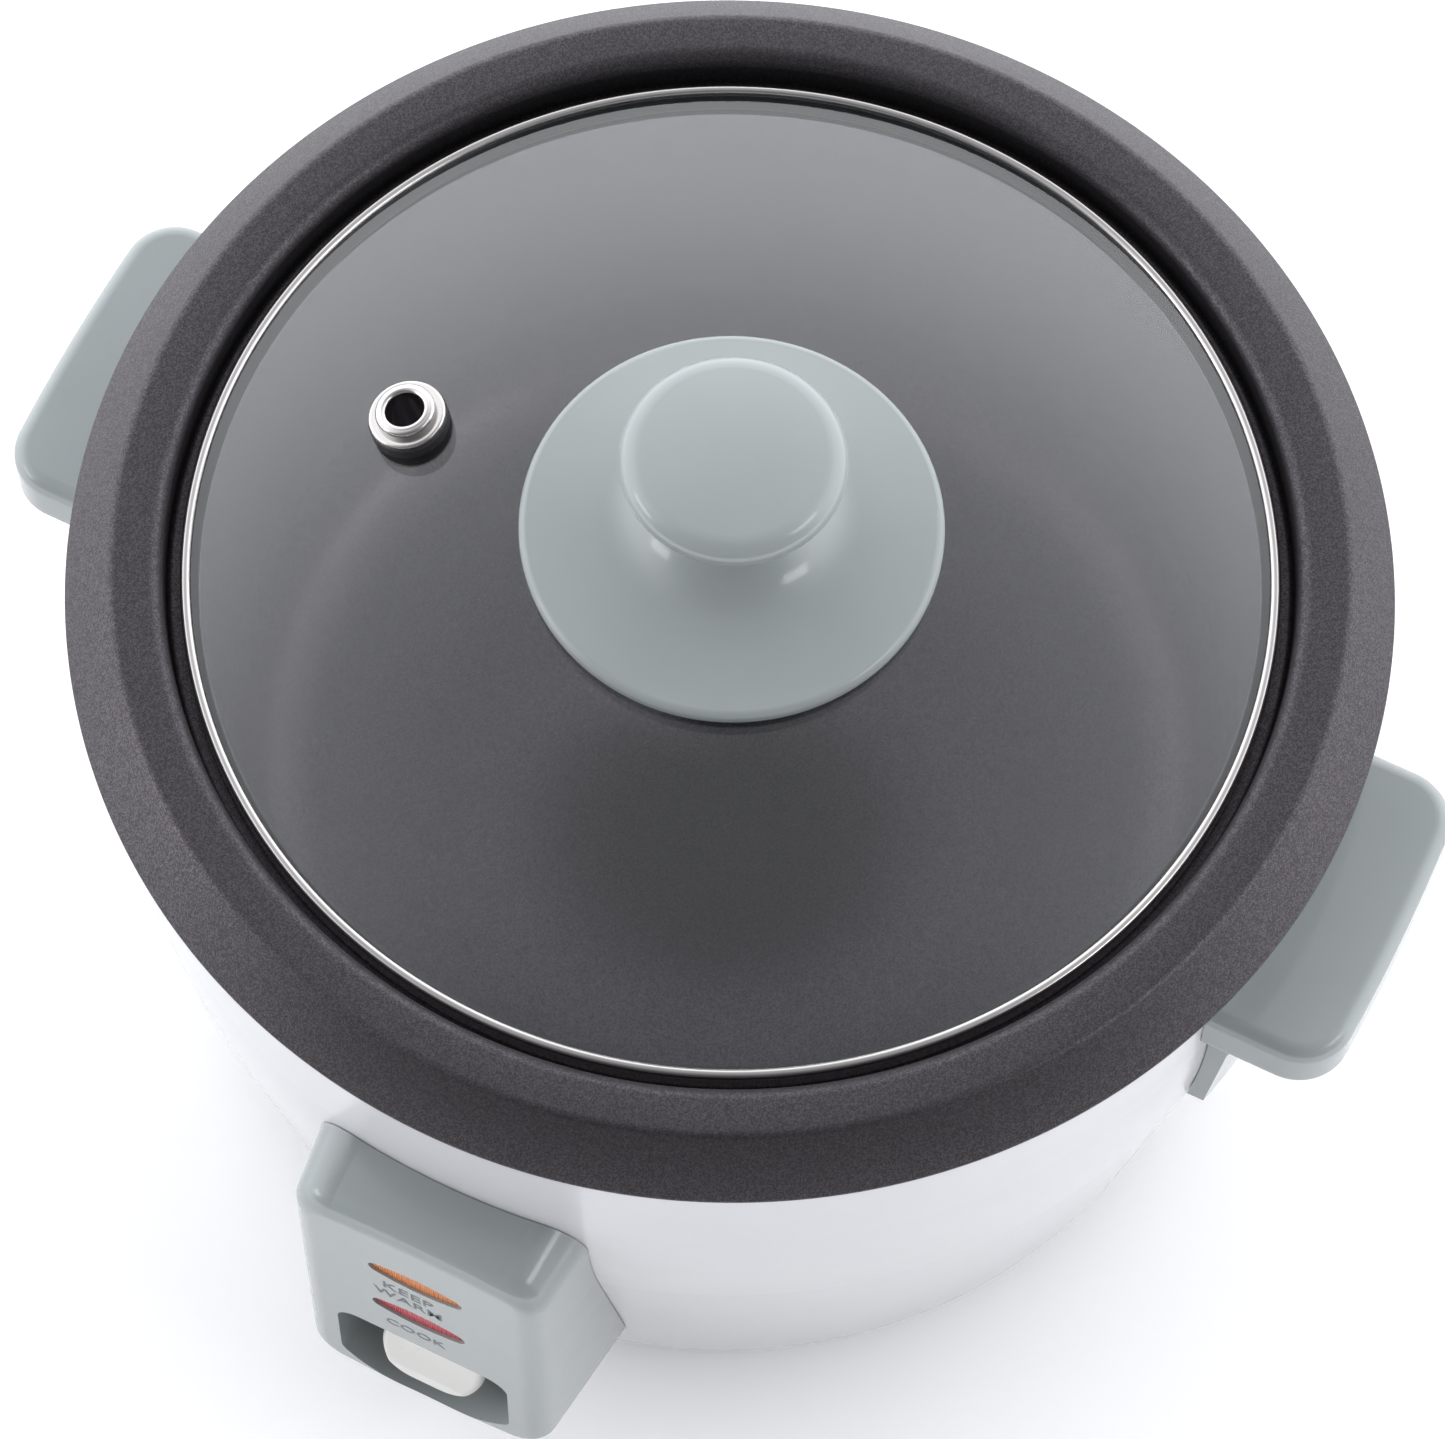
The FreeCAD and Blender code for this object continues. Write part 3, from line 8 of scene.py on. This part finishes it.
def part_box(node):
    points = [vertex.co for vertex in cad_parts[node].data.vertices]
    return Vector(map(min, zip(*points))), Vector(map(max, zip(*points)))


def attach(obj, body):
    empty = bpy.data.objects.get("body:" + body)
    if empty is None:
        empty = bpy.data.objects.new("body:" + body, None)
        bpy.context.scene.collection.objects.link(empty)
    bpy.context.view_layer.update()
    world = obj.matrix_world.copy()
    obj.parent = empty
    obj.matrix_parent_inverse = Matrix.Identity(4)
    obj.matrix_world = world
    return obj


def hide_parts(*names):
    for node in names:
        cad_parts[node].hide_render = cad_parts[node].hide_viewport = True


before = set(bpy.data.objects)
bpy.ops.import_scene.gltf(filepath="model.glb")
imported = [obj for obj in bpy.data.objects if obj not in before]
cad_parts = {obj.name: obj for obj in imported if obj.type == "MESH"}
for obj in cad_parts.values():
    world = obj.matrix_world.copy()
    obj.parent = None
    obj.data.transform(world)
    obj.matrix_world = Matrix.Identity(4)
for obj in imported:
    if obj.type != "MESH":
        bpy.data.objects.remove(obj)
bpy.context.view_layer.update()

# Camera: it stands in front of the right-hand handle, a good metre off, and looks steeply down
# at the lid through a long lens. The last three turns aim it and level it.
aim = Vector((0, 0, 0.152))
around, height, distance = radians(24.8), radians(64.495), 1.1295
toward = Vector((sin(around) * cos(height), -cos(around) * cos(height), sin(height)))
right = (-toward).cross(Vector((0, 0, 1))).normalized()
up = right.cross(-toward)
ahead = (-toward + tan(radians(-0.039)) * right + tan(radians(-1.321)) * up).normalized()
right = (right - right.dot(ahead) * ahead).normalized()
up = right.cross(ahead)
roll = radians(1.515)
side = cos(roll) * right + sin(roll) * up
over = -sin(roll) * right + cos(roll) * up
lens = bpy.data.cameras.new("camera")
lens.lens = 154.46
lens.clip_end = 20
camera = bpy.data.objects.new("camera", lens)
camera.matrix_world = (Matrix.Translation(aim + toward * distance)
                       @ Matrix((side, over, -ahead)).transposed().to_4x4())
bpy.context.scene.collection.objects.link(camera)
bpy.context.scene.camera = camera
bpy.context.scene.view_settings.view_transform = "Standard"

# Studio: a smooth sky that is bright low down at the back and the sides, and dim overhead and
# behind the camera, so that gloss shows long soft gradients. Two small lamps stand at the sides.
sky = bpy.data.worlds.new("studio")
sky.use_nodes = True
nodes, links = sky.node_tree.nodes, sky.node_tree.links
heading = nodes.new("ShaderNodeTexCoord").outputs["Generated"]


def sky_step(direction, start, end, low, high):
    """A smooth step between two strengths, by how far a direction of view runs along a given one."""
    along = nodes.new("ShaderNodeVectorMath")
    along.operation = "DOT_PRODUCT"
    along.inputs[1].default_value = direction
    links.new(heading, along.inputs[0])
    step = nodes.new("ShaderNodeMapRange")
    step.interpolation_type = "SMOOTHSTEP"
    for socket, value in zip(step.inputs[1:5], (start, end, low, high)):
        socket.default_value = value
    links.new(along.outputs["Value"], step.inputs["Value"])
    return step.outputs["Result"]


product = nodes.new("ShaderNodeMath")
product.operation = "MULTIPLY"
links.new(sky_step((0, 0, 1), 0.5, 1.04, 2.75, 0.55), product.inputs[0])
links.new(sky_step((sin(around), -cos(around), 0), -0.05, 0.65, 1.0, 0.12), product.inputs[1])
links.new(product.outputs[0], nodes["Background"].inputs["Strength"])
nodes["Background"].inputs["Color"].default_value = (0.97, 0.975, 1, 1)
bpy.context.scene.world = sky


def soft_box(name, across, away, high, width, depth, power):
    """A rectangular lamp that faces the cooker. across is how far it stands to the camera's right, away how
    far beyond the cooker, and high its height."""
    lamp = bpy.data.lights.new(name, "AREA")
    lamp.shape = "RECTANGLE"
    lamp.size, lamp.size_y = width, depth
    lamp.energy = power
    box = bpy.data.objects.new(name, lamp)
    place = Vector((across * cos(around) - away * sin(around),
                    across * sin(around) + away * cos(around), high))
    facing = (place - aim).to_track_quat("Z", "Y").to_matrix().to_4x4()
    box.matrix_world = Matrix.Translation(place) @ facing
    bpy.context.scene.collection.objects.link(box)


box_width, box_depth, box_power = 0.5, 0.3, 1.8
soft_box("box_left", -1.3, -0.25, 0.6, box_width, box_depth, box_power)
soft_box("box_right", 1.0, -0.45, 1.0, box_width, box_depth, box_power)


def new_finish(name, color, roughness, **sockets):
    """A finish with one plain shader; sockets are the shader's other values that are the same all over."""
    finish = bpy.data.materials.new(name)
    finish.use_nodes = True
    shader = finish.node_tree.nodes["Principled BSDF"]
    shader.inputs["Base Color"].default_value = (*color, 1)
    shader.inputs["Roughness"].default_value = roughness
    for socket, value in sockets.items():
        shader.inputs[socket.replace("_", " ").title().replace("Ior", "IOR")].default_value = value
    return finish


def pattern(finish, kind, scale, **settings):
    """A noise or cell pattern on the piece's own coordinates, in cells to the metre."""
    nodes, links = finish.node_tree.nodes, finish.node_tree.links
    place = nodes.get("Texture Coordinate") or nodes.new("ShaderNodeTexCoord")
    texture = nodes.new(kind)
    texture.inputs["Scale"].default_value = scale
    for socket, value in settings.items():
        texture.inputs[socket].default_value = value
    links.new(place.outputs["Object"], texture.inputs["Vector"])
    return texture


def spread(finish, source, low, high, start=0.3, end=0.7):
    """Turns a pattern's value into a value between low and high, which are two numbers or two colours."""
    nodes, links = finish.node_tree.nodes, finish.node_tree.links
    step = nodes.new("ShaderNodeMapRange")
    step.inputs["From Min"].default_value, step.inputs["From Max"].default_value = start, end
    links.new(source, step.inputs["Value"])
    if isinstance(low, (int, float)):
        step.inputs["To Min"].default_value, step.inputs["To Max"].default_value = low, high
        return step.outputs["Result"]
    blend = nodes.new("ShaderNodeMix")
    blend.data_type = "RGBA"
    blend.inputs[6].default_value, blend.inputs[7].default_value = (*low, 1), (*high, 1)
    links.new(step.outputs["Result"], blend.inputs["Factor"])
    return blend.outputs[2]


def feed(finish, socket, source):
    """Leads a value into the shader."""
    finish.node_tree.links.new(source, finish.node_tree.nodes["Principled BSDF"].inputs[socket])


def relief(finish, source, depth):
    """Fine relief: a pattern's value as bump, depth in metres from its low to its high."""
    bump = finish.node_tree.nodes.new("ShaderNodeBump")
    bump.inputs["Distance"].default_value = depth
    finish.node_tree.links.new(source, bump.inputs["Height"])
    feed(finish, "Normal", bump.outputs["Normal"])


def wear(finish, *names):
    """Gives CAD pieces a finish."""
    for name in names:
        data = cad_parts[name].data
        data.materials.clear()
        data.materials.append(finish)


# Floor: a seamless pale matt sheet under the cooker. It also glows faintly, more and more away
# from the cooker, so that the white enamel has something bright to reflect.
floor_finish = new_finish("studio_floor", (0.93, 0.93, 0.93), 0.9)
tree = floor_finish.node_tree
tree.nodes["Principled BSDF"].inputs["Emission Color"].default_value = (0.97, 0.975, 1, 1)
from_middle = tree.nodes.new("ShaderNodeVectorMath")
from_middle.operation = "LENGTH"
tree.links.new(tree.nodes.new("ShaderNodeTexCoord").outputs["Object"], from_middle.inputs[0])
feed(floor_finish, "Emission Strength",
     spread(floor_finish, from_middle.outputs["Value"], 0.1, 1.3, start=0.3, end=1.0))
clouds = pattern(floor_finish, "ShaderNodeTexNoise", 3)
feed(floor_finish, "Base Color", spread(floor_finish, clouds.outputs[0], (0.92, 0.92, 0.925),
                                        (0.94, 0.94, 0.94)))
half = 4
corners = np.array([(-half, -half, 0), (half, -half, 0), (half, half, 0), (-half, half, 0)], float)
floor_mesh = bpy.data.meshes.new("floor")
floor_mesh.from_pydata(corners, [], [(0, 1, 2, 3)])
floor_mesh.materials.append(floor_finish)
floor = bpy.data.objects.new("floor", floor_mesh)
bpy.context.scene.collection.objects.link(floor)

# Inner pan: pressed aluminium with a dark non-stick coat that holds fine metal flakes. Its flange
# has a flat ring and a sloped band with a firm edge between them, and lies on the body's shoulder.
coating = new_finish("pan_coating", (0.07, 0.064, 0.07), 0.42, metallic=0.85)
flakes = pattern(coating, "ShaderNodeTexVoronoi", 4500)
feed(coating, "Base Color", spread(coating, flakes.outputs["Color"], (0.042, 0.038, 0.042),
                                   (0.092, 0.086, 0.094), start=0.3, end=0.95))
feed(coating, "Roughness", spread(coating, flakes.outputs["Color"], 0.48, 0.38, start=0.2, end=0.9))
relief(coating, pattern(coating, "ShaderNodeTexNoise", 3000).outputs[0], 0.00002)


def arc(radius, height, across, up, start, end, steps):
    """Points on an oval arc. The radius is its middle's plus across times the cosine, and the height its
    middle's plus up times the sine, of evenly spaced angles in degrees."""
    turn = np.radians(np.linspace(start, end, steps))
    return np.column_stack((radius + across * np.cos(turn), height + up * np.sin(turn)))


def turned(name, profile, finishes, which, steps=360):
    """A closed profile of (radius, height) points turned about Z. x is the radius times the cosine of the
    turn's angle, y the radius times its sine, and z the height. which gives each profile step's finish."""
    angle = np.linspace(0, 2 * np.pi, steps, endpoint=False)
    count = len(profile)
    points = np.stack((np.outer(np.cos(angle), profile[:, 0]), np.outer(np.sin(angle), profile[:, 0]),
                       np.tile(profile[:, 1], (steps, 1))), axis=2).reshape(-1, 3)
    row, column = np.divmod(np.arange(steps * count), count)
    ahead_row, ahead_column = (row + 1) % steps * count, (column + 1) % count
    faces = np.column_stack((row * count + column, ahead_row + column, ahead_row + ahead_column,
                             row * count + ahead_column))
    mesh = bpy.data.meshes.new(name)
    mesh.from_pydata(points, [], faces)
    for finish in finishes:
        mesh.materials.append(finish)
    mesh.polygons.foreach_set("material_index", np.tile(which, steps).astype(np.int32))
    mesh.polygons.foreach_set("use_smooth", np.ones(len(faces), bool))
    mesh.update()
    piece = bpy.data.objects.new(name, mesh)
    bpy.context.scene.collection.objects.link(piece)
    return piece


low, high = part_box("inner_pan")
rim, foot, top = high.x, low.z, high.z
wall, riser, ledge, thick = rim - 0.024, rim - 0.0184, top - 0.0095, 0.0018
floor_level = foot + thick
axis = 0.0001
corner, bend, shoulder, brow, lip = 0.018, 0.0014, 0.003, 0.0023, 0.0007
slope = 41.4
break_radius, lip_foot, lip_rise = rim - 0.00994, top - 0.0101, 0.0006
hem, inner_break = 0.0022, 0.01016
profile = np.vstack((
    ((axis, floor_level),),
    arc(wall - corner, floor_level + corner, corner, corner, -90, 0, 16),
    arc(wall + bend, ledge - bend, bend, bend, 180, 90, 6),
    arc(riser - bend, ledge + bend, bend, bend, -90, 0, 6),
    arc(riser + shoulder, top - shoulder, shoulder, shoulder, 180, 90, 10),
    arc(break_radius, top - brow, brow, brow, 90, slope, 8),
    arc(rim - lip, lip_foot + lip_rise, lip, lip_rise, slope, -90, 6),
    ((rim - hem, lip_foot), (rim - inner_break, top - thick)),
    arc(riser + shoulder, top - shoulder, shoulder - thick, shoulder - thick, 90, 180, 6),
    ((riser + thick, ledge - thick), (wall + thick, ledge - thick)),
    arc(wall - corner, floor_level + corner, corner + thick, corner + thick, 0, -90, 16),
    ((axis, foot),),
))
pan = turned("pan_shell", profile, (coating,), np.zeros(len(profile)))
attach(pan, "pan")
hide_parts("inner_pan")

# Lid: a domed disc of tempered glass, slightly grey and a little uneven. It lets light straight
# through in shadows. The steam vent in it is a turned stainless eyelet.
clear_glass = new_finish("lid_glass", (0.86, 0.87, 0.92), 0.0, transmission_weight=1.0, ior=1.52,
                         coat_weight=0.35, coat_roughness=0.0)
tree = clear_glass.node_tree
let_through = tree.nodes.new("ShaderNodeBsdfTransparent")
let_through.inputs["Color"].default_value = (0.9, 0.91, 0.92, 1)
ray = tree.nodes.new("ShaderNodeLightPath")
either = tree.nodes.new("ShaderNodeMixShader")
tree.links.new(ray.outputs["Is Shadow Ray"], either.inputs[0])
tree.links.new(tree.nodes["Principled BSDF"].outputs[0], either.inputs[1])
tree.links.new(let_through.outputs[0], either.inputs[2])
tree.links.new(either.outputs[0], tree.nodes["Material Output"].inputs["Surface"])
relief(clear_glass, pattern(clear_glass, "ShaderNodeTexNoise", 12).outputs[0], 0.00004)
wear(clear_glass, "lid_glass")
polished_steel = new_finish("rim_steel", (0.5, 0.485, 0.475), 0.18, metallic=1.0)
grain = pattern(polished_steel, "ShaderNodeTexNoise", 260)
feed(polished_steel, "Roughness", spread(polished_steel, grain.outputs[0], 0.14, 0.24))
wear(polished_steel, "vent_eyelet")

# Lid's ring: a stainless band rolled over the glass's edge in a thin round lip. Its inner channel,
# against the glass, is painted near-black: painted shade for the shadow that falls under the ring.
# Painted shade: a near-black finish for the ring's inner channel, where the ring's shadow falls.
painted_shade = new_finish("ring_painted_shade", (0.012, 0.016, 0.014), 0.35)
feed(painted_shade, "Roughness", spread(painted_shade, pattern(painted_shade, "ShaderNodeTexNoise", 700).outputs[0], 0.28, 0.42))
low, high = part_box("lid_rim_ring")
rim, foot, top = high.x, low.z, high.z
inner, wall_face, floor_face, edge = rim - 0.0039, rim - 0.0009, foot + 0.0008, 0.0006
roll_across, roll_up = 0.00095, 0.0008
profile = np.vstack((
    ((inner, foot), (rim - edge, foot)),
    arc(rim - edge, foot + edge, edge, edge, -60, 0, 4),
    arc(rim - roll_across, top - roll_up, roll_across, roll_up, 0, 200, 20),
    ((wall_face, top - 0.001), (wall_face, floor_face), (inner, floor_face)),
))
# The last profile steps, the inner channel against the glass, take the painted shade.
shade_steps = 4
which = np.zeros(len(profile))
which[-shade_steps:] = 1
ring = turned("rim_ring", profile, (polished_steel, painted_shade), which)
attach(ring, "lid")
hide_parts("lid_rim_ring")

# Knob, handles and switch housing: one grey plastic, moulded in polished tools. A screw through the
# glass holds the knob, and screws through the body hold the handles and the housing.
grey_plastic = new_finish("grey_plastic", (0.29, 0.318, 0.32), 0.14)
clouds = pattern(grey_plastic, "ShaderNodeTexNoise", 40, Detail=4)
feed(grey_plastic, "Base Color", spread(grey_plastic, clouds.outputs[0], (0.282, 0.31, 0.312),
                                        (0.298, 0.326, 0.328)))
grain = pattern(grey_plastic, "ShaderNodeTexNoise", 300)
feed(grey_plastic, "Roughness", spread(grey_plastic, grain.outputs[0], 0.1, 0.17))
relief(grey_plastic, pattern(grey_plastic, "ShaderNodeTexNoise", 90).outputs[0], 0.00003)
wear(grey_plastic, "lid_knob", "handle_right", "handle_left", "switch_housing")

# Body: a deep-drawn steel shell under a gloss white enamel with a faint orange peel. Its top is
# rolled inwards into a shoulder, which carries the pan.
enamel = new_finish("body_enamel", (0.58, 0.585, 0.61), 0.22, coat_weight=0.3, coat_roughness=0.08)
feed(enamel, "Base Color", spread(enamel, pattern(enamel, "ShaderNodeTexNoise", 25).outputs[0],
                                  (0.572, 0.577, 0.602), (0.588, 0.593, 0.618)))
relief(enamel, pattern(enamel, "ShaderNodeTexNoise", 400).outputs[0], 0.00002)
wear(enamel, "outer_body")

# Rubber: the feet and the vent's gasket are black, and the knob's washer is clear silicone. They
# are moulded and pressed into place.
rubber = new_finish("black_rubber", (0.02, 0.02, 0.021), 0.6)
feed(rubber, "Roughness", spread(rubber, pattern(rubber, "ShaderNodeTexNoise", 500).outputs[0], 0.5, 0.7))
wear(rubber, "feet", "vent_gasket")
silicone = new_finish("clear_rubber", (0.7, 0.7, 0.68), 0.5)
grain = pattern(silicone, "ShaderNodeTexNoise", 400)
feed(silicone, "Roughness", spread(silicone, grain.outputs[0], 0.4, 0.6))
wear(silicone, "knob_washer")

# Steel work inside: zinc-plated sheet with its crystals, pressed and bent to shape, and brighter
# plated screws, pins and springs.
plated = new_finish("plated_steel", (0.6, 0.61, 0.62), 0.35, metallic=1.0)
crystals = pattern(plated, "ShaderNodeTexVoronoi", 160)
feed(plated, "Base Color", spread(plated, crystals.outputs["Color"], (0.52, 0.53, 0.55),
                                  (0.68, 0.69, 0.7), start=0, end=1))
feed(plated, "Roughness", spread(plated, crystals.outputs["Color"], 0.28, 0.42, start=0, end=1))
wear(plated, "heat_shield", "plate_spacers", "base_plate", "base_posts", "thermostat_sleeve",
     "magnet_holder", "cook_lever", "lever_bracket", "switch_bracket", "fuse_clip")
screw_steel = new_finish("screw_steel", (0.6, 0.6, 0.6), 0.28, metallic=1.0)
grain = pattern(screw_steel, "ShaderNodeTexNoise", 900)
feed(screw_steel, "Roughness", spread(screw_steel, grain.outputs[0], 0.2, 0.36))
wear(screw_steel, "knob_screw", "element_terminals", "plate_screws", "base_screws", "sensor_spring",
     "magnet_spring", "lever_pin", "microswitch_screws", "lamp_screws", "housing_screws", "handle_screws")

# Heating plate: cast aluminium, turned on its face, with a sheathed element that heat has tinted
# brown. The sensor's cap and the warm thermostat's can share its finish. The ferrite is pressed.
cast = new_finish("cast_aluminium", (0.66, 0.67, 0.68), 0.4, metallic=1.0)
feed(cast, "Roughness", spread(cast, pattern(cast, "ShaderNodeTexNoise", 700).outputs[0], 0.32, 0.5))
relief(cast, pattern(cast, "ShaderNodeTexNoise", 900).outputs[0], 0.00005)
wear(cast, "heating_plate", "sensor_cap", "warm_thermostat_can")
sheath = new_finish("element_steel", (0.42, 0.38, 0.34), 0.4, metallic=1.0)
feed(sheath, "Base Color", spread(sheath, pattern(sheath, "ShaderNodeTexNoise", 60).outputs[0],
                                  (0.34, 0.3, 0.27), (0.48, 0.44, 0.4)))
wear(sheath, "heating_element")
ferrite = new_finish("ferrite", (0.06, 0.06, 0.065), 0.55)
grain = pattern(ferrite, "ShaderNodeTexNoise", 1200)
feed(ferrite, "Roughness", spread(ferrite, grain.outputs[0], 0.45, 0.65))
wear(ferrite, "sensor_ferrite", "magnet")

# Switch tab, microswitch and inlet: white and black plastic mouldings, with brass pins and screws
# in the inlet and the terminal block. The thermal fuse has the same brass.
white_plastic = new_finish("white_plastic", (0.74, 0.735, 0.71), 0.3)
grain = pattern(white_plastic, "ShaderNodeTexNoise", 300)
feed(white_plastic, "Roughness", spread(white_plastic, grain.outputs[0], 0.26, 0.36))
wear(white_plastic, "switch_tab", "microswitch_button", "terminal_block")
black_plastic = new_finish("black_plastic", (0.03, 0.03, 0.03), 0.45)
relief(black_plastic, pattern(black_plastic, "ShaderNodeTexNoise", 1200).outputs[0], 0.00003)
wear(black_plastic, "microswitch", "warm_thermostat_case", "lamp_holder", "power_inlet")
brass = new_finish("brass_fitting", (0.72, 0.55, 0.25), 0.3, metallic=1.0)
feed(brass, "Roughness", spread(brass, pattern(brass, "ShaderNodeTexNoise", 800).outputs[0], 0.22, 0.4))
wear(brass, "thermal_fuse", "inlet_pins", "terminal_screws")

# Lamps and lenses: neon lamps in clear tubes, behind an amber and a red window of clear plastic
# with fine upright ribs. The windows sit in the front of the housing.
for name, node, color in (("amber_lens", "lens_warm", (0.85, 0.25, 0.07)),
                          ("red_lens", "lens_cook", (0.62, 0.07, 0.09))):
    window = new_finish(name, color, 0.25, subsurface_weight=0.15)
    ribs = pattern(window, "ShaderNodeTexWave", 330)
    ribs.bands_direction = "X"
    relief(window, ribs.outputs["Fac"], 0.00035)
    wear(window, node)
lamp_glass = new_finish("lamp_glass", (0.9, 0.9, 0.9), 0.05, transmission_weight=0.9)
grain = pattern(lamp_glass, "ShaderNodeTexNoise", 300)
feed(lamp_glass, "Roughness", spread(lamp_glass, grain.outputs[0], 0.03, 0.1))
wear(lamp_glass, "lamp_warm", "lamp_cook")

# Legends: printed words by the two lamps, in a dark-grey ink. Each is a thin film on the front of
# the housing, set out by its middle and by the foot of its letters.
ink = new_finish("legend_ink", (0.09, 0.1, 0.11), 0.5)
feed(ink, "Base Color", spread(ink, pattern(ink, "ShaderNodeTexNoise", 900).outputs[0],
                               (0.08, 0.09, 0.1), (0.11, 0.12, 0.13)))
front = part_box("switch_housing")[0].y
for name, word, middle, foot, tall in (("legend_keep", "KEEP", -0.0018, 0.0846, 0.0046),
                                       ("legend_warm", "WARM", -0.0018, 0.0802, 0.0044),
                                       ("legend_cook", "COOK", -0.001, 0.0642, 0.0039)):
    curve = bpy.data.curves.new(name, "FONT")
    curve.body = word
    curve.size = tall
    curve.offset = 0.00006
    curve.space_character = 1.1
    curve.align_x = "CENTER"
    curve.extrude = 0.00003
    draft = bpy.data.objects.new(name + "_draft", curve)
    bpy.context.scene.collection.objects.link(draft)
    bpy.context.view_layer.update()
    mesh = bpy.data.meshes.new_from_object(draft.evaluated_get(bpy.context.evaluated_depsgraph_get()))
    bpy.data.objects.remove(draft)
    mesh.transform(Matrix.Translation((middle, front, foot)) @ Matrix.Rotation(radians(90), 4, "X"))
    mesh.materials.clear()
    mesh.materials.append(ink)
    legend = bpy.data.objects.new(name, mesh)
    bpy.context.scene.collection.objects.link(legend)
    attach(legend, "root")
